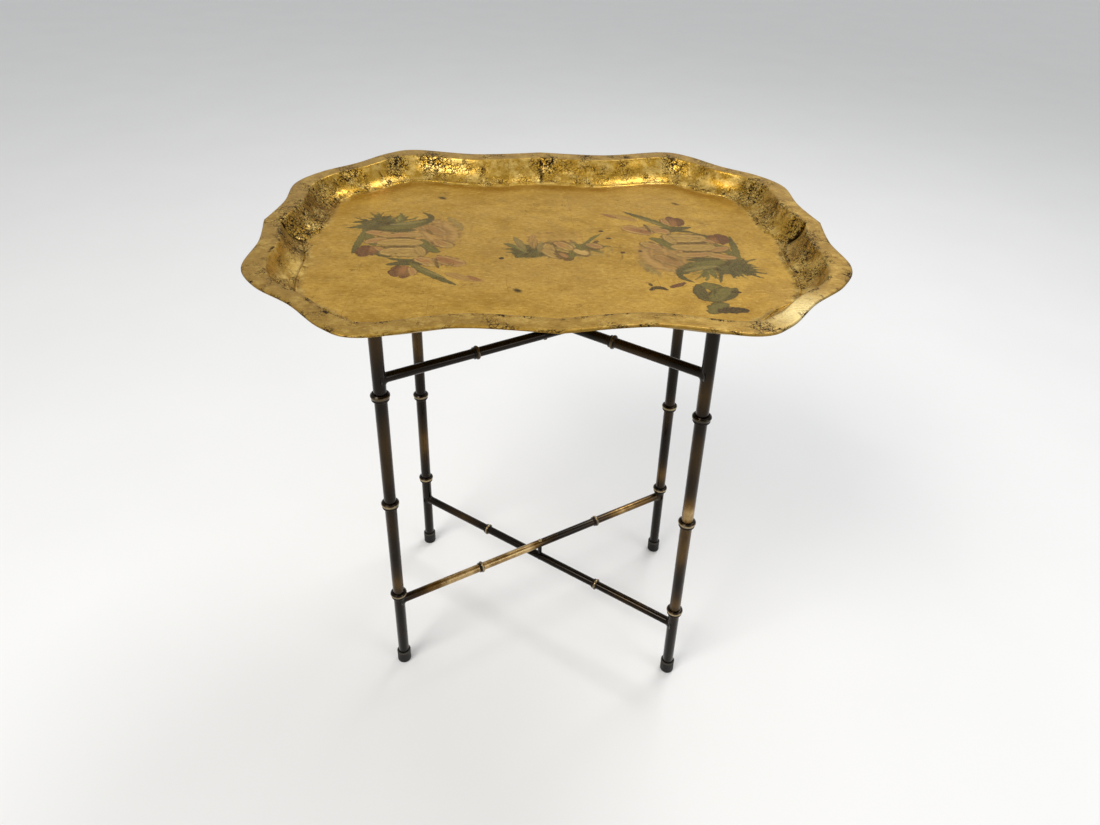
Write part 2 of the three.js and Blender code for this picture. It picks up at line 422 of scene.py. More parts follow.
def rubbed_away(n, wear):
    """Where the leaf is gone: flakes, pinholes and curling crackle, more of each as wear rises."""
    ragged = n.shaken(90.0, 0.004)
    gone = 0.0
    for scale, detail, unworn, fully_worn in FLAKES:
        noise = n.noise(scale, detail, 0.66, ragged)
        limit = n.step(wear, 0.0, 1.0, unworn, fully_worn)
        gone = n.maths("MAXIMUM", gone, n.step(n.less(noise, limit), 0.0, 0.025))
    patch = n.noise(48.0, 4.0, 0.6)
    where = n.step(n.plus(patch, n.times(wear, 0.45)), 0.62, 0.82)
    for scale, width in CRACKLE_NETS:
        net = n.cells(scale, n.shaken(70.0, 0.012))
        line = n.inverse(n.step(net, 0.0, width))
        gone = n.maths("MAXIMUM", gone, n.times(line, where))
    return gone


def brass_material():
    """Dark antique lacquer over brass, rubbed through to golden brown in soft patches, some of them painted
    highlights, with painted highlights on the beads' ridges and the rivets.
    """
    n = Nodes("antique_brass")
    n.set(Metallic=0.9, Coat_Weight=0.18, Coat_Roughness=0.07)
    rubbed_and_highlight = n.value_of("rubbed_and_highlight")
    edge = n.value_of("edge")
    cloudy = n.noise(38.0, 5.0, 0.6, n.stretched(1.0, 1.0, 0.35))
    fine = n.noise(330.0, 4.0)
    # rubbed brass, and painted highlights where light catches the tubes
    rubbed = n.plus(rubbed_and_highlight, n.times(n.less(cloudy, 0.5), 0.7))
    colour = n.layers(
        LACQUER_BLACK,
        (n.step(rubbed, 0.05, 0.6), LACQUER_BROWN),
        (n.step(rubbed, 0.45, 1.05), BRASS_GOLD),
        (n.step(rubbed, 0.82, 1.1, 0.0, 0.8), BRASS_PALE),
        # painted highlight on the ridges of the beads and on the rivets
        (n.times(edge, n.step(cloudy, 0.3, 0.6, 0.3, 1.0)), BRASS_HIGHLIGHT),
        (n.step(fine, 0.58, 0.72, 0.0, 0.5), LACQUER_BLACK),
    )
    rough = n.plus(n.step(cloudy, 0.3, 0.7, 0.15, 0.3), n.times(fine, 0.08))
    n.set(Base_Color=colour, Roughness=rough)
    n.bump(n.plus(n.times(cloudy, 0.4), n.times(fine, 0.2)), 0.15, 0.25 * MM)
    return n.material


def rubber_material():
    """Moulded black-brown rubber with dust in its pores and scuffs low down."""
    n = Nodes("foot_rubber")
    n.set(Specular_IOR_Level=0.2)
    cloudy = n.noise(60.0, 5.0, 0.6)
    pores = n.noise(900.0, 2.0)
    colour = n.mix(n.step(cloudy, 0.4, 0.75), RUBBER_DARK, RUBBER_DUSTY)
    colour = n.mix(n.times(n.value_of("edge"), 0.8), colour, RUBBER_SCUFF)
    n.set(Base_Color=colour, Roughness=n.step(cloudy, 0.3, 0.7, 0.42, 0.62))
    n.bump(pores, 0.25, 0.2 * MM)
    return n.material


def plug_material():
    """Moulded dark plastic with fine grain."""
    n = Nodes("plug_plastic")
    grain = n.noise(700.0, 3.0)
    cloudy = n.noise(90.0, 3.0)
    colour = n.mix(n.step(cloudy, 0.4, 0.7), RUBBER_DARK, RUBBER_DUSTY)
    n.set(Base_Color=colour, Roughness=n.step(cloudy, 0.3, 0.7, 0.45, 0.6))
    n.bump(grain, 0.2, 0.15 * MM)
    return n.material


def stage_material():
    """A matt studio floor, very slightly cloudy."""
    n = Nodes("pale_floor")
    colour = n.mix(n.noise(3.0, 2.0), STAGE_GREY, STAGE_WHITE)
    n.set(Base_Color=colour, Roughness=0.75, Specular_IOR_Level=0.2)
    return n.material


# ---- painted flowers

PAINT_SCALE = 0.981  # from the painting's own millimetres to the tray's
PAINT_SHIFT = (-0.9, -15.5)
BOUQUET_MIDDLE = (1.0, 7.5)  # the two large groups are the same, turned about this point
PAINTED_ZONES = [(-246, -74, -110, 114), (76, 250, -168, 124), (-60, 98, -78, 60)]
# Dark spots, as (x, y, size).
SPOTS = [
    (-55, -31, 6), (70, 49, 5), (77, 27, 5), (90, -14, 5), (-38, -109, 4.5), (183, 140, 4.5), (112, -10, 4),
]

DARK_GREEN = (0.050, 0.047, 0.014)
OLIVE = (0.098, 0.088, 0.021)
PALE_OLIVE = (0.18, 0.145, 0.042)
GREY_GREEN = (0.19, 0.135, 0.040)
CREAM = (0.30, 0.182, 0.045)
LIGHT_CREAM = (0.44, 0.28, 0.085)
PINK = (0.285, 0.140, 0.042)
FADED = (0.285, 0.155, 0.042)
ROSE = (0.22, 0.090, 0.030)
MAROON = (0.090, 0.030, 0.014)
UMBER = (0.085, 0.045, 0.012)
CHIP = (0.018, 0.012, 0.004)


class Canvas:
    """Layers of paint on the tray's floor, held at its vertices. Sizes are in millimetres."""

    def __init__(self, x, y):
        self.x = x
        self.y = y
        self.colour = np.zeros((len(x), 3))
        self.cover = np.zeros(len(x))

    def near(self, low, high, margin):
        """The vertices within a margin of a box."""
        in_x = (self.x > low[0] - margin) & (self.x < high[0] + margin)
        in_y = (self.y > low[1] - margin) & (self.y < high[1] + margin)
        return np.flatnonzero(in_x & in_y)

    def lay(self, where, mask, colour):
        """Paints a colour over what is there, where mask is above 0."""
        seen = np.maximum(self.cover[where], mask)
        share = np.divide(mask, seen, out=np.zeros_like(mask), where=seen > 1e-4)[:, None]
        self.colour[where] = self.colour[where] * (1 - share) + colour * share
        self.cover[where] += mask * (1 - self.cover[where])

    def stroke(
        self, start, bend, end, width, colour, strength=0.9, blunt=0.5, dark_edge=0.35, tip=None, rim=0.0,
    ):
        """One brush mark along a bent line. blunt is 1 for a pointed leaf and 0.3 for a round petal.
        rim is how much paler the mark is just inside its edge."""
        t = np.linspace(0.0, 1.0, 28)[:, None]
        a, b, c = (np.array(p, float) for p in (start, bend, end))
        line = (1 - t) ** 2 * a + 2 * t * (1 - t) * b + t ** 2 * c
        where = self.near(line.min(0), line.max(0), width + 4)
        x, y = self.x[where], self.y[where]
        near = np.full(len(x), 1e9)
        along = np.zeros(len(x))
        across = np.zeros(len(x))
        heading = np.gradient(line, axis=0)
        heading /= np.linalg.norm(heading, axis=1)[:, None] + 1e-9
        for (px, py), (hx, hy), (s,) in zip(line, heading, t):
            half = width * 0.5 * max(4 * s * (1 - s), 0.0) ** blunt + 0.4
            dx, dy = x - px, y - py
            d = np.hypot(dx, dy) / half
            closer = d < near
            near[closer] = d[closer]
            along[closer] = s
            across[closer] = ((dy * hx - dx * hy) / half)[closer]
        seed = int(abs(start[0] * 7 + start[1] * 13))
        wobble = 0.10 * ripple(x, y, 9.0, seed) + 0.07 * ripple(x, y, 4.0, seed + 1)
        mask = strength * (1 - smooth(0.68, 1.14, near + wobble))
        shade = np.array(colour) * (1 - dark_edge * smooth(0.5, 1.0, near))[:, None]
        if tip is not None:
            shade = shade + (np.array(tip) - shade) * smooth(0.35, 1.0, along)[:, None]
        pale = rim * smooth(0.45, 0.68, near) * (1 - smooth(0.82, 0.95, near))
        shade = shade + (np.array(LIGHT_CREAM) - shade) * pale[:, None]
        hairs = 1 + 0.2 * np.sin(across * 11 + 2.5 * ripple(x, y, 14.0, 3))
        self.lay(where, mask, shade * hairs[:, None])

    def petal(self, start, bend, end, width, colour, strength=0.9, blunt=0.4, tip=None):
        """A petal with a pale rim, over a soft shadow."""
        self.stroke(start, bend, end, width + 5, UMBER, 0.4, blunt)
        self.stroke(start, bend, end, width, colour, strength, blunt, tip=tip, rim=0.55)

    def ragged(self, centre, size, colour, strength=0.9, seed=1):
        """A soft mass of foliage with a torn outline."""
        reach = np.array(size) * 1.4
        where = self.near(np.array(centre) - reach, np.array(centre) + reach, 0)
        x, y = self.x[where], self.y[where]
        dx = (x - centre[0]) / size[0]
        dy = (y - centre[1]) / size[1]
        d = (np.abs(dx) ** 3 + np.abs(dy) ** 3) ** (1 / 3)
        torn = 0.18 * ripple(x, y * 0.35, 9.0, seed) + 0.10 * ripple(x, y, 5.0, seed + 1)
        mask = strength * (1 - smooth(0.6, 1.15, d + torn))
        tone = 1 + 0.5 * ripple(x, y, 13.0, seed + 2)
        self.lay(where, mask, np.array(colour) * np.clip(tone, 0.4, 1.8)[:, None])

    def tuft(self, root, spread, lengths, count, colour, seed):
        """Thin blades that fan out from a root. spread is their first and last angle in degrees."""
        rng = np.random.default_rng(seed)
        for angle in np.radians(np.linspace(*spread, count)):
            length = rng.uniform(*lengths)
            start = np.array(root) + rng.uniform(-7, 7, 2)
            way = np.array([math.cos(angle), math.sin(angle)])
            side = np.array([-way[1], way[0]]) * rng.uniform(-4, 4)
            bend = start + way * length * 0.5 + side
            width = rng.uniform(2.5, 4.5)
            tone = np.array(colour) * rng.uniform(0.7, 1.6)
            self.stroke(start, bend, start + way * length, width, tone, rng.uniform(0.45, 0.85), 0.8)


def paint_bouquet(canvas, flip):
    """The large group of tulips. flip turns it half a turn, for the tray's other end."""
    half_turn = 180 if flip else 0

    def at(*points):
        middle_x, middle_y = BOUQUET_MIDDLE
        return [(2 * middle_x - x, 2 * middle_y - y) if flip else (x, y) for x, y in points]

    def spot(x, y):
        return at((x, y))[0]

    def mark(start, bend, end, *look, **more):
        canvas.stroke(*at(start, bend, end), *look, **more)

    def petal(start, bend, end, *look, **more):
        canvas.petal(*at(start, bend, end), *look, **more)

    # Soft tint under the whole group
    canvas.ragged(spot(-180, 22), (50, 66), GREY_GREEN, 0.3, 61 + flip)
    canvas.ragged(spot(-133, 40), (36, 52), FADED, 0.4, 63 + flip)
    # Faded blooms at the back of the group
    mark((-147, 70), (-130, 48), (-126, 18), 50, FADED, 0.55, blunt=0.35, dark_edge=0.25, rim=0.25)
    mark((-124, 92), (-112, 74), (-104, 50), 12, GREY_GREEN, 0.3)
    petal((-152, 64), (-138, 48), (-128, 40), 20, PINK, 0.5)
    mark((-149, 52), (-145, 45), (-140, 38), 5, UMBER, 0.7)
    # Foliage
    canvas.ragged(spot(-206, 68), (27, 25), DARK_GREEN, 0.9, 11 + flip)
    canvas.tuft(spot(-208, 68), (70 + half_turn, 250 + half_turn), (24, 42), 26, DARK_GREEN, 71 + flip)
    canvas.tuft(spot(-180, 78), (30 + half_turn, 120 + half_turn), (14, 26), 9, OLIVE, 73 + flip)
    mark((-204, 54), (-168, 58), (-144, 86), 23, OLIVE, blunt=0.55, tip=DARK_GREEN)
    mark((-150, 78), (-138, 92), (-158, 106), 7, DARK_GREEN, 0.8, blunt=0.7)
    mark((-196, 66), (-175, 68), (-150, 80), 8, PALE_OLIVE, 0.8, blunt=0.7)
    mark((-198, 47), (-180, 46), (-160, 50), 8, DARK_GREEN, blunt=0.7)
    mark((-224, 50), (-226, 20), (-229, -20), 9, OLIVE, blunt=0.6, tip=DARK_GREEN)
    mark((-220, 40), (-214, 18), (-205, 4), 12, OLIVE, blunt=0.7)
    mark((-152, 22), (-146, -3), (-128, -14), 15, OLIVE, 0.8, blunt=0.6)
    mark((-208, -6), (-196, -14), (-186, -26), 16, DARK_GREEN, 0.85)
    # Upper petals
    petal((-221, 43), (-205, 42), (-184, 28), 14, PINK, blunt=0.5, tip=CREAM)
    petal((-216, 14), (-206, 22), (-193, 18), 15, PINK, blunt=0.35)
    petal((-192, 31), (-174, 38), (-153, 34), 13, PINK, tip=CREAM)
    # Red bud at the side
    mark((-214, 0), (-222, -10), (-214, -24), 18, MAROON, blunt=0.4, dark_edge=0.5)
    mark((-206, 2), (-206, -8), (-206, -22), 12, ROSE, 0.8, tip=MAROON)
    petal((-204, 0), (-198, -6), (-192, -12), 9, PINK, blunt=0.45)
    # Cream flower in the middle
    petal((-201, 12), (-178, 17), (-152, 12), 20, CREAM, blunt=0.35)
    petal((-193, -14), (-172, -10), (-148, -16), 26, CREAM, blunt=0.32)
    petal((-156, 2), (-150, -8), (-147, -22), 11, CREAM, 0.8)
    mark((-203, 1), (-178, -1), (-152, 1), 3.4, UMBER, 0.8)
    mark((-186, 26), (-176, 25), (-160, 25), 3.4, UMBER, 0.8)
    mark((-186, -30), (-168, -40), (-148, -32), 6, DARK_GREEN)
    # Lower right tulips
    petal((-134, 16), (-126, 8), (-116, 2), 16, PINK, 0.7, tip=CREAM)
    petal((-152, -32), (-140, -40), (-128, -46), 19, PINK, blunt=0.35, tip=CREAM)
    petal((-130, -30), (-116, -38), (-100, -46), 22, ROSE, 0.75, tip=PINK)
    mark((-131, -30), (-130, -44), (-126, -56), 4, UMBER, 0.8)
    # Lower bud and its stem
    mark((-186, -48), (-166, -40), (-146, -46), 11, DARK_GREEN, blunt=0.6)
    mark((-160, -42), (-146, -62), (-102, -100), 12, OLIVE, blunt=0.75, tip=DARK_GREEN)
    mark((-150, -52), (-136, -66), (-116, -82), 4, PALE_OLIVE, 0.8, blunt=0.8)
    mark((-170, -52), (-178, -64), (-172, -76), 13, MAROON, blunt=0.4, dark_edge=0.5)
    mark((-165, -52), (-163, -66), (-163, -80), 15, ROSE, blunt=0.4, tip=MAROON)
    petal((-158, -56), (-153, -64), (-154, -74), 9, PINK, blunt=0.5)
    mark((-118, -68), (-100, -80), (-78, -88), 15, FADED, 0.55, blunt=0.6)
    mark((-92, -76), (-84, -84), (-74, -90), 7, ROSE, 0.5, blunt=0.6)


def paint_posy(canvas):
    """The small faded group in the middle."""
    mark, petal = canvas.stroke, canvas.petal
    canvas.ragged((8, 26), (48, 26), FADED, 0.35, 31)
    canvas.ragged((14, -8), (66, 24), GREY_GREEN, 0.45, 35)
    canvas.ragged((-24, -14), (19, 15), DARK_GREEN, 0.8, 33)
    canvas.tuft((-24, -10), (60, 250), (14, 28), 15, DARK_GREEN, 75)
    canvas.tuft((40, 4), (-30, 70), (14, 34), 9, OLIVE, 77)
    mark((-52, 10), (-44, 8), (-30, -10), 8, OLIVE, blunt=0.9)
    mark((-40, 30), (-34, 14), (-26, -8), 9, GREY_GREEN, blunt=0.9)
    mark((-38, 4), (-32, -6), (-24, -16), 5, PALE_OLIVE, 0.8, blunt=0.9)
    mark((-16, 36), (-18, 18), (-16, -4), 12, FADED, 0.5, blunt=0.6)
    mark((-6, 14), (-10, 2), (-8, -14), 9, GREY_GREEN, 0.8, blunt=0.8)
    petal((2, 10), (0, -4), (4, -18), 15, CREAM, 0.75)
    petal((-4, -8), (4, -18), (12, -28), 15, CREAM, 0.75)
    petal((12, 12), (20, 6), (27, -6), 17, PINK, 0.7, tip=CREAM)
    mark((-3, 12), (4, 14), (12, 2), 4, UMBER, 0.7)
    mark((12, -14), (18, -26), (26, -32), 18, UMBER, 0.8, blunt=0.45)
    mark((14, -16), (19, -22), (22, -27), 8, PINK, 0.8)
    mark((28, -10), (30, -20), (27, -30), 9, OLIVE, 0.7, blunt=0.7)
    petal((34, -8), (40, -12), (46, -18), 15, LIGHT_CREAM, 0.6)
    mark((36, 8), (40, 0), (41, -8), 9, OLIVE, 0.85)
    mark((44, 4), (56, 30), (70, 42), 6, OLIVE, 0.6, blunt=0.8)
    petal((50, 8), (58, 6), (64, 0), 14, PINK, 0.7)
    mark((48, -3), (56, -7), (64, -3), 4, UMBER, 0.85)
    mark((58, 12), (60, 18), (64, 19), 5, UMBER, 0.6)
    mark((86, -4), (94, -26), (78, -46), 2.4, UMBER, 0.35, blunt=0.3)
    mark((20, -62), (44, -76), (80, -46), 2.4, UMBER, 0.25, blunt=0.3)


def paint_marks(canvas):
    """Dark leaves by the right-hand group, and old chips and spots."""
    mark = canvas.stroke
    mark((164, -98), (160, -116), (166, -133), 17, DARK_GREEN, 0.95, dark_edge=0.6)
    mark((168, -96), (182, -104), (190, -116), 19, OLIVE, dark_edge=0.6)
    mark((172, -132), (184, -120), (196, -108), 25, OLIVE, 0.95, blunt=0.45, dark_edge=0.7)
    mark((186, -132), (200, -124), (204, -104), 8, DARK_GREEN, 0.95, blunt=0.6)
    mark((196, -113), (202, -114), (207, -116), 5, CHIP, 1.0, blunt=0.8)
    mark((166, -160), (170, -146), (184, -142), 18, OLIVE, 0.95, blunt=0.4, dark_edge=0.7)
    mark((172, -158), (188, -152), (204, -156), 15, CHIP, 0.95, blunt=0.55)
    mark((108, -110), (116, -98), (127, -109), 7, CHIP, 1.0)
    mark((109, -94), (110, -96), (111, -99), 4, CHIP, blunt=0.4)
    mark((131, -103), (140, -99), (150, -92), 7, MAROON, 0.95, blunt=0.6)
    mark((-160, 156), (-146, 155), (-132, 159), 3.4, CHIP, blunt=0.6)
    mark((-84, 155), (-77, 154), (-70, 155), 2.6, CHIP, 0.7, blunt=0.6)
    for x, y, size in SPOTS:
        mark((x - 1, y), (x, y + 1), (x + 1, y), size, CHIP, blunt=0.2)


def on_tray(x, y):
    """A point of the painting as a plan point in metres."""
    return (x * PAINT_SCALE + PAINT_SHIFT[0]) * MM, (y * PAINT_SCALE + PAINT_SHIFT[1]) * MM


# ---- tray shape

def outline(quarter):
    """All the points of a closed outline, in metres, from a quarter of it. They crowd at the creases."""
    steps = np.linspace(0, 1, QUARTER_STEPS + 1)
    crowded = 0.45 * steps + 0.55 * (1 - np.cos(np.pi * steps)) / 2
    first = spline(quarter, crowded * (len(quarter) - 1)) * MM
    second = (first * [-1, 1])[::-1]
    half = np.vstack([first[:-1], second[:-1]])
    return np.vstack([half, -half])


# The share given to every vertex of the floor, and to every vertex underneath.
ON_FLOOR, UNDERNEATH = 2.0, -1.0

# The tray's upper face and its underside as (share, drop). share is 0 at the rim's edge and 1 at the
# foot of the wall, and drop is in millimetres below the rim.
LIP_SECTION = [
    (0.0, 1.6), (0.012, 0.6), (0.035, 0.1), (0.07, 0.0), (0.15, 0.1), (0.24, 0.25), (0.33, 0.4),
    (0.41, 0.5), (0.445, 0.7),
]
COVE_SECTION = [
    (0.46, 1.3), (0.475, 2.6), (0.5, 5.4), (0.53, 8.8), (0.57, 12.7), (0.62, 16.4), (0.68, 19.8),
    (0.75, 22.6), (0.82, 24.7), (0.88, 26.0), (0.91, 26.6),
]
BEAD_SECTION = [
    (0.925, 26.5), (0.937, 25.9), (0.95, 25.4), (0.963, 25.3), (0.976, 25.7), (0.99, 26.5), (1.0, 27.0),
]
UNDERSIDE_SECTION = [
    (0.96, 30.9), (0.9, 30.2), (0.84, 28.7), (0.77, 26.3), (0.7, 23.5), (0.63, 20.3), (0.57, 16.9),
    (0.52, 13.2), (0.485, 9.8), (0.455, 6.8), (0.42, 5.0), (0.38, 4.2), (0.3, 3.8), (0.16, 3.4),
    (0.04, 3.1), (0.006, 2.5),
]


def near_crease(points, reach):
    """1 on the upright creases in the middle of each side, and 0 more than about reach away."""
    side = np.abs(points[:, 0]) > 0.25
    gap = np.where(side, np.abs(points[:, 1]), np.abs(points[:, 0]))
    return hump(gap, 0, reach)


def stepped_crease(points, reach):
    """Rises from 0 to 1 over reach on the front side of each end's crease, then drops sharply to 0."""
    at_end = np.where(points[:, 0] > 0.25, 1.0, 0.3 * (points[:, 0] < -0.25))
    return smooth(-reach, -0.5 * MM, points[:, 1]) * (points[:, 1] < 0.2 * MM) * at_end


def border_ring(rim, foot, share, drop):
    """One ring of border vertices, a little uneven because the tray was moulded by hand."""
    points = rim + (foot - rim) * share
    outward = rim - foot
    outward /= np.linalg.norm(outward, axis=1)[:, None]
    on_wall = smooth(0.42, 0.55, share) * (1 - smooth(0.9, 1.0, share))
    groove = 1.6 * MM * near_crease(points, 2.5 * MM)
    step = 4.0 * MM * stepped_crease(points, 16 * MM)
    dent = 0.6 * MM * ripple(points[:, 0], points[:, 1], 0.09, 5)
    points = points + outward * ((groove + step + dent) * on_wall)[:, None]
    sag = 0.35 * MM * (1 + np.clip(ripple(points[:, 0], points[:, 1], 0.2, 8), -1, 1))
    height = RIM_HEIGHT - drop * MM - sag * (1 - smooth(0.3, 0.9, share))
    return np.column_stack([points, height])


def floor_points(foot):
    """Plan points inside the foot of the wall: dense where flowers are painted, sparse elsewhere."""
    low, high = foot.min(0), foot.max(0)
    plain = grid(low[0], high[0], low[1], high[1], PLAIN_SPACING)
    zones = []
    for x0, x1, y0, y1 in PAINTED_ZONES:
        (ax, ay), (bx, by) = on_tray(x0, y0), on_tray(x1, y1)
        zones.append((ax, bx, ay, by))
    for x0, x1, y0, y1 in zones:
        margin = PLAIN_SPACING * 0.5
        x, y = plain.T
        plain = plain[(x < x0 - margin) | (x > x1 + margin) | (y < y0 - margin) | (y > y1 + margin)]
    dense = [grid(*zone, PAINT_SPACING) for zone in zones]
    points = np.vstack([plain, *dense])
    return points[inside(points, foot * 0.985)]


def grid(x0, x1, y0, y1, spacing):
    xs = np.arange(x0, x1 + spacing * 0.5, spacing)
    ys = np.arange(y0, y1 + spacing * 0.5, spacing)
    return np.stack(np.meshgrid(xs, ys), -1).reshape(-1, 2)


def inside(points, loop):
    """Which points lie inside a closed loop that is seen whole from the origin."""
    return np.hypot(*points.T) < reach_of(loop, points)


def reach_of(loop, points):
    """How far a loop is from the origin in each point's direction."""
    angles = np.arctan2(loop[:, 1], loop[:, 0])
    order = np.argsort(angles)
    reach = np.hypot(*loop.T)
    return np.interp(np.arctan2(points[:, 1], points[:, 0]), angles[order], reach[order], period=2 * np.pi)


def floor_mesh(edge, first, start):
    """The floor inside an edge whose vertices begin at first. The floor's own begin at start."""
    around = len(edge)
    loop = [(i, (i + 1) % around) for i in range(around)]
    plan = [Vector(p) for p in np.vstack([edge, floor_points(edge)])]
    found, _, triangles, origin, _, _ = delaunay_2d_cdt(plan, loop, [], 1, 1e-7)
    index, floor = [], []
    for point, sources in zip(found, origin):
        if sources and sources[0] < around:
            index.append(first + sources[0])
        else:
            index.append(start + len(floor))
            floor.append(tuple(point))
    floor = np.array(floor)
    wave = 0.25 * MM * ripple(floor[:, 0], floor[:, 1], 0.16, 21) * inside(floor, edge * 0.9)
    vertices = np.column_stack([floor, RIM_HEIGHT - TRAY_DEPTH + wave])
    return vertices, [tuple(index[k] for k in triangle) for triangle in triangles]


def tray_mesh():
    """Vertices, faces and the share of the border at each vertex."""
    rim, foot = outline(RIM_QUARTER), outline(WALL_FOOT_QUARTER)
    around = len(rim)
    top = LIP_SECTION + COVE_SECTION + BEAD_SECTION
    rings = [border_ring(rim, foot, s, d) for s, d in top]
    under = [border_ring(rim, foot, s, d) for s, d in reversed(UNDERSIDE_SECTION)]
    shares = [np.full(around, s) for s, _ in top] + [np.full(around, UNDERNEATH) for _ in under]
    vertices = np.vstack(rings + under)
    faces = []
    order = list(range(len(rings) - 1, -1, -1)) + [len(rings) + i for i in range(len(under))]
    for a, b in zip(order, order[1:]):
        faces += band(b * around, a * around, around)

    floor, triangles = floor_mesh(rings[-1][:, :2], (len(rings) - 1) * around, len(vertices))
    vertices = np.vstack([vertices, floor, [[0, 0, RIM_HEIGHT - TRAY_DEPTH - TRAY_THICKNESS]]])
    shares = np.concatenate([*shares, np.full(len(floor), ON_FLOOR), [UNDERNEATH]])
    faces += triangles
    last = (len(rings) + len(under) - 1) * around
    for i in range(around):
        faces.append((last + (i + 1) % around, last + i, len(vertices) - 1))
    return vertices, faces, shares


# ---- tray surface

# Places where the leaf is worn through, as (x, y, size, strength) in millimetres.
WORN_PLACES = [
    (-155, 236, 17, 0.7), (-76, 232, 9, 0.5), (-57, 237, 9, 0.5), (-12, 238, 6, 0.4),
    (14, 228, 13, 0.8), (66, 231, 12, 0.8), (102, 233, 8, 0.7), (124, 233, 8, 0.7), (188, 236, 15, 0.7),
    (238, 220, 22, 0.6), (284, 138, 22, 0.6), (-285, 110, 30, 0.45), (-262, 170, 22, 0.4),
    (-205, 222, 16, 0.6), (-290, 55, 24, 0.45), (-300, 12, 22, 0.5), (-285, -30, 22, 0.4),
    (300, 8, 14, 0.7), (292, -45, 24, 0.45), (288, -100, 20, 0.45), (285, 70, 20, 0.5),
    (-213, -202, 16, 0.6), (312, -140, 9, 0.6), (191, -250, 12, 0.5), (-60, -240, 14, 0.4),
]


def on_border(shares):
    return (shares >= 0) & (shares <= 1)


def worn(vertices, shares):
    """How far the leaf is worn at each vertex, from 0 to 1."""
    x, y = vertices[:, 0] / MM, vertices[:, 1] / MM
    border = on_border(shares)
    wall = smooth(0.42, 0.55, shares) * border
    level = np.where(border, 0.24 + 0.10 * wall, 0.08)
    for px, py, size, strength in WORN_PLACES:
        level += strength * np.exp(-((x - px) ** 2 + (y - py) ** 2) / (size * size)) * border
    clusters = smooth(0.2, 1.0, ripple(x, y, 42.0, 51)) + smooth(0.3, 1.0, ripple(x, y, 19.0, 52))
    level += 0.16 * clusters * wall
    level += 0.45 * near_crease(vertices[:, :2], 4 * MM) * wall
    broken = smooth(-0.2, 0.8, ripple(x, y, 26.0, 41)) * border
    level += 0.4 * hump(shares, 0.9, 0.05) * broken
    level += 0.75 * hump(shares, 0.43, 0.05) * broken * (y < 60)
    level += 0.6 * (1 - smooth(0.0, 0.12, shares)) * broken * (y < 60)
    return np.clip(np.where(shares < 0, 0.35, level), 0, 1)


def patina_and_shade(vertices, shares):
    """Dark patina that has stayed in the creases, along the bead and on the rim's edge; in the creases it
    is also painted shade of the folds.
    """
    border = on_border(shares)
    wall = smooth(0.46, 0.6, shares) * (1 - smooth(0.93, 0.99, shares)) * border
    crease = near_crease(vertices[:, :2], 2.4 * MM) * wall
    groove = hump(shares, 0.915, 0.012) * border * 0.4
    edge = (1 - smooth(0.0, 0.02, shares)) * border * 0.7
    return np.clip(crease * 0.85 + groove + edge + (shares < 0) * 0.25, 0, 1)


def painted_wall_shade_band(vertices, shares):
    """A darker band on the floor along the foot of the back wall: painted shade of the wall and its painted
    reflection in the varnish.
    """
    points = vertices[:, :2]
    foot = outline(WALL_FOOT_QUARTER)
    reach = reach_of(foot, points)
    gap = (reach - np.hypot(*points.T)) / MM
    back = smooth(0.25, 0.6, points[:, 1] / np.maximum(np.hypot(*points.T), MM))
    uneven = 1 + 0.25 * ripple(points[:, 0], points[:, 1], 60 * MM, 55)
    return np.clip((1 - smooth(12, 34, gap)) * back * uneven, 0, 1) * (shares > 0.96)


def painted_lip_highlight(vertices):
    """A painted highlight on the front right corner of the lip, where light catches the leaf."""
    x, y = vertices[:, 0] / MM, vertices[:, 1] / MM
    return np.exp(-((x - 232) / 38) ** 2 - ((y + 216) / 34) ** 2)


def make_tray(material):
    vertices, faces, shares = tray_mesh()
    paint_x = (vertices[:, 0] / MM - PAINT_SHIFT[0]) / PAINT_SCALE
    paint_y = (vertices[:, 1] / MM - PAINT_SHIFT[1]) / PAINT_SCALE
    canvas = Canvas(paint_x, paint_y)
    for flip in (False, True):
        paint_bouquet(canvas, flip)
    paint_posy(canvas)
    paint_marks(canvas)
    on_floor = shares == ON_FLOOR
    cover = canvas.cover * on_floor
    paint = np.column_stack([canvas.colour, np.ones(len(vertices))])
    floats = {
        "floor_mask": on_floor.astype(float), "wear": worn(vertices, shares),
        # patina, and painted shade in the creases
        "patina_and_shade": patina_and_shade(vertices, shares), "cover": cover,
        "lip_mask": (1 - smooth(0.43, 0.47, shares)) * (shares >= 0),
        # painted shade and reflection of the back wall on the floor
        "wall_shade": painted_wall_shade_band(vertices, shares),
        # painted highlight on the front right corner of the lip
        "lip_highlight": painted_lip_highlight(vertices) * (1 - smooth(0.40, 0.46, shares)) * (shares >= 0),
    }
    obj = mesh_object("gilt_tray", vertices, faces, material, floats, {"paint": paint}, sharp=50)
    place(obj, "tray", "gilt_tray", "tray")


# ---- stand

def middle(node):
    low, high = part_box(node)
    return (low + high) / 2


def leg_axis(leg):
    """Where a leg's axis meets the floor, and its direction, from its foot and its top plug."""
    low, high = middle(f"foot_{leg}"), middle(f"top_plug_{leg}")
    direction = (high - low).normalized()
    return low - direction * (low.z / direction.z), direction


def on_leg(leg, height):
    base, direction = leg_axis(leg)
    return base + direction * (height / direction.z)


def patches(where, marks):
    """Adds up soft bright patches, each given as (middle, half length, strength)."""
    total = np.zeros_like(where)
    for centre, half, strength in marks:
        total += strength * hump(where, centre, half)
    return np.clip(total, 0, 1)


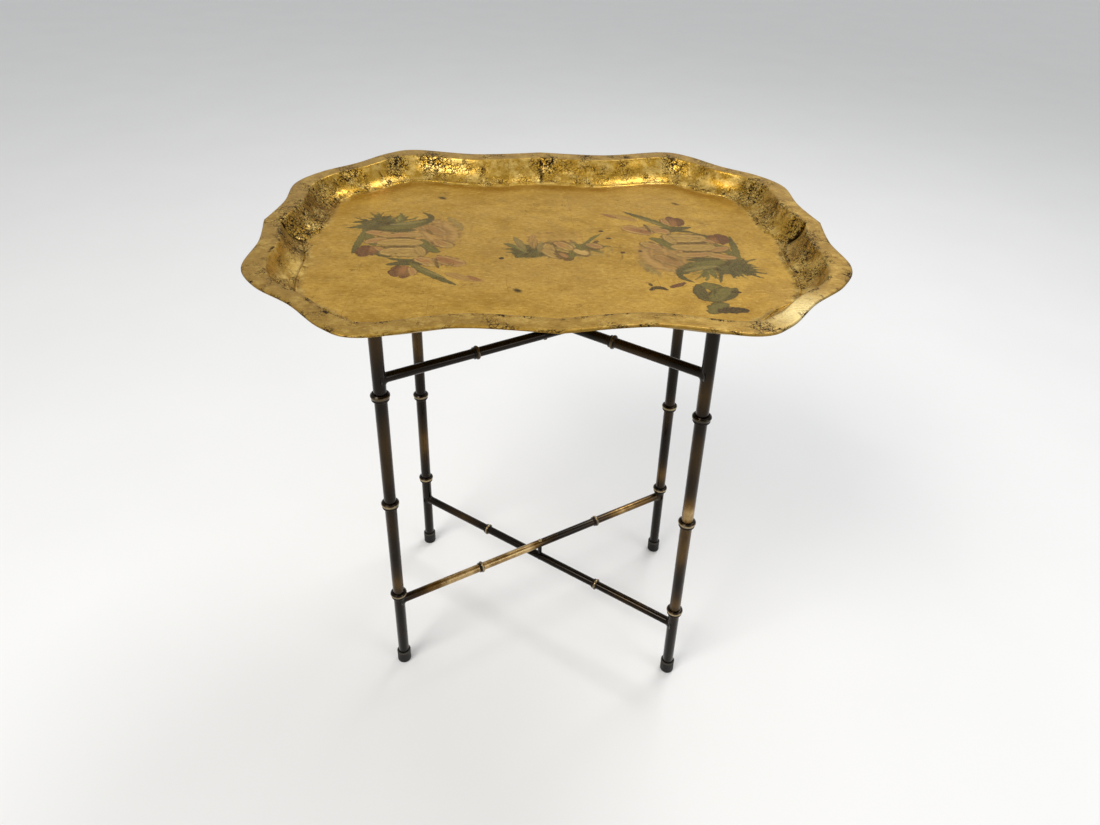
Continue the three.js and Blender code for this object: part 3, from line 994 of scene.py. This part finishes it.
# Where each leg's lacquer is rubbed through, with painted highlights where light catches the tube, as
# (height, half length, strength) in metres.
LEG_RUBS_AND_HIGHLIGHTS = {
    "front_left": [(0.60, 0.04, 0.5), (0.43, 0.06, 0.5), (0.29, 0.05, 0.4), (0.18, 0.03, 0.7)],
    "back_left": [(0.44, 0.05, 0.6), (0.25, 0.05, 0.75), (0.60, 0.04, 0.75)],
    "front_right": [
        (0.53, 0.03, 0.6), (0.44, 0.04, 0.45), (0.345, 0.03, 0.9), (0.27, 0.05, 0.65), (0.16, 0.03, 0.6),
    ],
    "back_right": [(0.195, 0.03, 0.8), (0.33, 0.04, 0.35), (0.5, 0.05, 0.3)],
}
# The same for the stretchers, measured from the middle towards the frame's named end; some are painted
# highlights along the tops of the tubes.
STRETCHER_RUBS_AND_HIGHLIGHTS = {
    "lower_a": [(-0.17, 0.05, 0.9), (-0.09, 0.05, 0.95), (-0.03, 0.05, 0.85), (0.17, 0.07, 0.9)],
    "lower_b": [(-0.15, 0.05, 0.4), (0.16, 0.05, 0.3)],
    "upper_a": [(-0.05, 0.05, 0.2)],
    "upper_b": [(0.13, 0.05, 0.45), (-0.1, 0.05, 0.3)],
}


def make_leg(leg, material):
    """A tube with a rolled top edge that opens at both ends."""
    low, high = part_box(f"leg_{leg}")
    base, direction = leg_axis(leg)
    length = (high.z - low.z) / direction.z
    rolled = 0.5 * MM
    heights = np.linspace(rolled, length - rolled, 60)
    profile = [(LEG_BORE, rolled), (LEG_BORE + rolled, 0), (LEG_RADIUS - rolled, 0)]
    profile += [(LEG_RADIUS, h) for h in heights]
    profile += [(LEG_RADIUS - rolled, length), (LEG_BORE + rolled, length), (LEG_BORE, length - rolled)]
    vertices, faces = turned_ring(profile, 40)
    vertices = moved(vertices, on_leg(leg, low.z), direction)
    # rubbed brass and painted highlights along the leg
    rubbed_and_highlight = patches(vertices[:, 2], LEG_RUBS_AND_HIGHLIGHTS[leg])
    obj = mesh_object(f"bamboo_leg_{leg}", vertices, faces, material, {"rubbed_and_highlight": rubbed_and_highlight}, sharp=40)
    place(obj, FRAME_OF_LEG[leg], "antique_brass", f"leg_{leg}")


def ring_profile(bore, radius, half):
    """A bamboo joint: a fat rounded bead over a thinner one, with a groove between them."""
    step = radius - 1.1 * MM
    profile = [(bore, -half)]
    profile += arc((step - 0.9 * MM, -half + 0.9 * MM), 0.9 * MM, -80, 60, 6)
    profile += arc((radius - 2.6 * MM, half * 0.28), 2.6 * MM, -62, 62, 12)
    profile += arc((step - 1.6 * MM, half - 0.8 * MM), 0.8 * MM, 40, 85, 4)
    profile += [(bore, half)]
    return profile


def make_ring(name, node, bead, direction, body, material):
    vertices, faces = turned_ring(ring_profile(*bead), 40)
    radius = bead[1]
    reach = np.hypot(vertices[:, 0], vertices[:, 1])
    # painted highlight on the bead's ridge, stronger on the lower beads
    edge = smooth(radius - 0.9 * MM, radius - 0.1 * MM, reach)
    vertices = moved(vertices, middle(node), direction)
    low_down = 1 - smooth(0.25, 0.5, middle(node).z)
    floats = {"rubbed_and_highlight": np.full(len(vertices), 0.2), "edge": edge * (0.12 + 0.4 * low_down)}
    obj = mesh_object(name, vertices, faces, material, floats, sharp=60)
    place(obj, body, "antique_brass", node)


def make_leg_rings(leg, material):
    _, direction = leg_axis(leg)
    for i in (1, 2, 3):
        node = f"leg_ring_{leg}_{i}"
        make_ring(f"leg_joint_{leg}_{i}", node, LEG_BEAD, direction, FRAME_OF_LEG[leg], material)


def stood_on(leg, height, vertices):
    """Points made round Z, leaned to follow a leg's axis from a height upwards."""
    _, direction = leg_axis(leg)
    lean = direction / direction.z
    return vertices + np.outer(vertices[:, 2], [lean.x, lean.y, 0]) + np.array(on_leg(leg, height))


def make_foot(leg, material):
    """A rubber cup with a rounded sole, straight sides and a bevelled rim."""
    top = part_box(f"foot_{leg}")[1].z
    wide, bore, sole = FOOT_RADIUS, FOOT_BORE, FOOT_SOLE
    profile = [(0, 0), (4 * MM, 0)]
    profile += arc((wide - 2.6 * MM, 2.6 * MM), 2.6 * MM, -90, 0, 8)
    profile += [(wide, 6 * MM), (wide - 0.1 * MM, top * 0.6), (wide + 0.1 * MM, top - 3.4 * MM)]
    profile += arc((wide - 0.7 * MM, top - 2.6 * MM), 0.8 * MM, 0, 60, 4)
    profile += arc((bore + 0.7 * MM, top - 0.7 * MM), 0.7 * MM, 70, 180, 5)
    profile += [(bore, sole + 1 * MM), (bore - 1 * MM, sole), (0, sole)]
    vertices, faces = turned(profile, 44)
    rim = hump(vertices[:, 2], top - 2.1 * MM, 0.7 * MM)
    outer = np.hypot(vertices[:, 0], vertices[:, 1]) > bore + 0.5 * MM
    vertices = stood_on(leg, 0.0, vertices)
    obj = mesh_object(f"rubber_foot_{leg}", vertices, faces, material, {"edge": rim * outer}, sharp=50)
    place(obj, FRAME_OF_LEG[leg], "foot_rubber", f"foot_{leg}")


def make_plug(leg, material):
    """A plug with a domed head, pushed into the top of the tube."""
    low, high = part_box(f"top_plug_{leg}")
    length = high.z - low.z
    shoulder = length - PLUG_HEAD
    profile = [(0, 0), (PLUG_STEM - 1 * MM, 0), (PLUG_STEM, 1 * MM)]
    profile += [(PLUG_STEM, shoulder), (7.6 * MM, shoulder), (7.9 * MM, shoulder + 0.4 * MM)]
    profile += arc((5.2 * MM, length - 2.7 * MM), 2.7 * MM, 5, 90, 8)
    profile += [(0, length)]
    vertices, faces = turned(profile, 36)
    vertices = stood_on(leg, low.z, vertices)
    obj = mesh_object(f"leg_plug_{leg}", vertices, faces, material, sharp=40)
    place(obj, FRAME_OF_LEG[leg], "plug_plastic", f"top_plug_{leg}")


def brazed_end(span, sign, turns):
    """Rows from a leg's surface inwards, where the braze spreads from a stretcher onto the leg."""
    rows = []
    for angle in np.radians([0, 18, 36, 54, 72, 90]):
        reach = STRETCHER_RADIUS + BRAZE * (1 - math.sin(angle))
        back = BRAZE * (1 - math.cos(angle))
        flat = np.minimum(np.abs(reach * np.sin(turns)) / LEG_RADIUS, 1)
        gap = LEG_RADIUS * np.sqrt(1 - flat ** 2) - BRAZE_SINK
        rows.append((sign * (span - gap - back), reach))
    return rows


def make_stretcher(level, letter, ends, material):
    """A tube between two legs, flared at each end by the braze that joins it to them."""
    node = f"stretcher_{level}_{letter}"
    height = middle(node).z
    tips = [on_leg(leg, height) for leg in ends]
    along = (tips[0] - tips[1]).normalized()
    side = Vector((0, 0, 1)).cross(along)
    span = (tips[0] - tips[1]).length / 2
    sides = 36
    turns = np.arange(sides) * 2 * np.pi / sides
    plain = np.linspace(-span + BRAZE_END, span - BRAZE_END, 40)
    straight = [(np.full(sides, x), STRETCHER_RADIUS) for x in plain]
    rows = brazed_end(span, -1, turns) + straight + brazed_end(span, 1, turns)[::-1]
    vertices = []
    for x, reach in rows:
        ring = np.outer(x, along) + np.outer(reach * np.sin(turns), side)
        ring[:, 2] += reach * np.cos(turns) + height
        vertices.append(ring)
    faces = []
    for ring in range(len(rows) - 1):
        faces += band(ring * sides, (ring + 1) * sides, sides)
    last = (len(rows) - 1) * sides
    faces.append(tuple(range(sides))[::-1])
    faces.append(tuple(last + i for i in range(sides)))
    vertices = np.vstack(vertices)
    where = vertices[:, :2] @ np.array(along)[:2]
    # rubbed brass and painted highlights along the stretcher
    rubbed_and_highlight = patches(where, STRETCHER_RUBS_AND_HIGHLIGHTS[f"{level}_{letter}"])
    name = f"crossbar_{level}_{letter}"
    obj = mesh_object(name, vertices, faces, material, {"rubbed_and_highlight": rubbed_and_highlight}, sharp=60)
    body = f"frame_{letter}"
    place(obj, body, "antique_brass", node)
    for i in (1, 2):
        ring = f"stretcher_ring_{level}_{letter}_{i}"
        make_ring(f"bar_joint_{level}_{letter}_{i}", ring, STRETCHER_BEAD, along, body, material)


def make_rivet(level, material):
    """A rivet through two stretchers, with a domed head at each end."""
    low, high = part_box(f"pivot_rivet_{level}")
    length = high.z - low.z
    profile = [(0, 0)]
    for angle in np.radians([20, 40, 60, 75, 90]):
        profile.append((RIVET_HEAD * math.sin(angle), RIVET_DOME * (1 - math.cos(angle))))
    profile += [(RIVET_HEAD, RIVET_DOME + 0.25 * MM), (RIVET_SHAFT, RIVET_DOME + 0.3 * MM)]
    profile += [(r, length - z) for r, z in reversed(profile)]
    vertices, faces = turned(profile, 28)
    # painted highlight over the rivet
    floats = {"edge": np.full(len(vertices), 0.5)}
    obj = mesh_object(f"rivet_{level}", vertices + [0, 0, low.z], faces, material, floats, sharp=50)
    place(obj, "frame_a", "antique_brass", f"pivot_rivet_{level}")


def make_spacer(level, material):
    """The sleeve on a rivet, between the two stretchers."""
    low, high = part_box(f"pivot_spacer_{level}")
    length = high.z - low.z
    shoulder = SPACER_RADIUS - SPACER_BEVEL
    profile = [(SPACER_BORE, 0), (shoulder, 0), (SPACER_RADIUS, SPACER_BEVEL)]
    profile += [(SPACER_RADIUS, length - SPACER_BEVEL), (shoulder, length), (SPACER_BORE, length)]
    vertices, faces = turned_ring(profile, 32)
    floats = {"rubbed_and_highlight": np.zeros(len(vertices))}
    obj = mesh_object(f"spacer_{level}", vertices + [0, 0, low.z], faces, material, floats, sharp=40)
    place(obj, "frame_a", "antique_brass", f"pivot_spacer_{level}")


def make_stand():
    brass, rubber, plastic = brass_material(), rubber_material(), plug_material()
    for leg in FRAME_OF_LEG:
        make_leg(leg, brass)
        make_leg_rings(leg, brass)
        make_foot(leg, rubber)
        make_plug(leg, plastic)
    for level in ("lower", "upper"):
        for letter, ends in STRETCHER_ENDS.items():
            make_stretcher(level, letter, ends, brass)
        make_rivet(level, brass)
        make_spacer(level, brass)


# ---- stage, light and camera

def make_stage():
    corners = [(x * STAGE_REACH, y * STAGE_REACH, 0) for x, y in ((-1, -1), (1, -1), (1, 1), (-1, 1))]
    floor = mesh_object("studio_floor", corners, [(0, 1, 2, 3)], stage_material())


def area_light(name, place, target, size, power, colour=(1, 1, 1)):
    light = bpy.data.lights.new(name, "AREA")
    light.shape = "RECTANGLE"
    light.size, light.size_y = size
    light.energy = power
    light.color = colour
    obj = bpy.data.objects.new(name, light)
    obj.location = place
    obj.rotation_euler = (Vector(target) - Vector(place)).to_track_quat("-Z", "Y").to_euler()
    bpy.context.scene.collection.objects.link(obj)


def make_lights():
    top = (0, 0, RIM_HEIGHT)
    area_light("key", (-1.5, -1.3, 2.9), top, (1.2, 1.2), 48, (1.0, 0.97, 0.93))
    area_light("fill", (2.2, -1.6, 1.5), (0, 0, 0.4), (1.2, 1.6), 14, (0.95, 0.97, 1.0))
    area_light("window", (1.1, 1.3, 2.9), top, (1.2, 0.9), 30)
    world = bpy.data.worlds.new("studio")
    world.use_nodes = True
    background = world.node_tree.nodes["Background"]
    background.inputs["Color"].default_value = (0.97, 0.98, 1.0, 1)
    background.inputs["Strength"].default_value = 0.6
    bpy.context.scene.world = world
    bpy.context.scene.view_settings.view_transform = "Standard"


def make_camera():
    """Looks down at the table from in front, turned and tilted a little."""
    yaw, pitch, roll = (math.radians(angle) for angle in CAMERA_TURN)
    forward = Vector((math.sin(yaw) * math.cos(pitch), math.cos(yaw) * math.cos(pitch), -math.sin(pitch)))
    level = Vector((math.cos(yaw), -math.sin(yaw), 0))
    upright = level.cross(forward)
    right = level * math.cos(roll) + upright * math.sin(roll)
    up = upright * math.cos(roll) - level * math.sin(roll)
    camera = bpy.data.cameras.new("camera")
    camera.sensor_width = CAMERA_SENSOR
    camera.lens = CAMERA_LENS
    camera.clip_start = 0.01
    obj = bpy.data.objects.new("camera", camera)
    turn = Matrix((right, up, -forward)).transposed().to_4x4()
    obj.matrix_world = Matrix.Translation(CAMERA_PLACE) @ turn
    bpy.context.scene.collection.objects.link(obj)
    bpy.context.scene.camera = obj


make_camera()
make_lights()
make_stage()
make_tray(gilt_material())
make_stand()
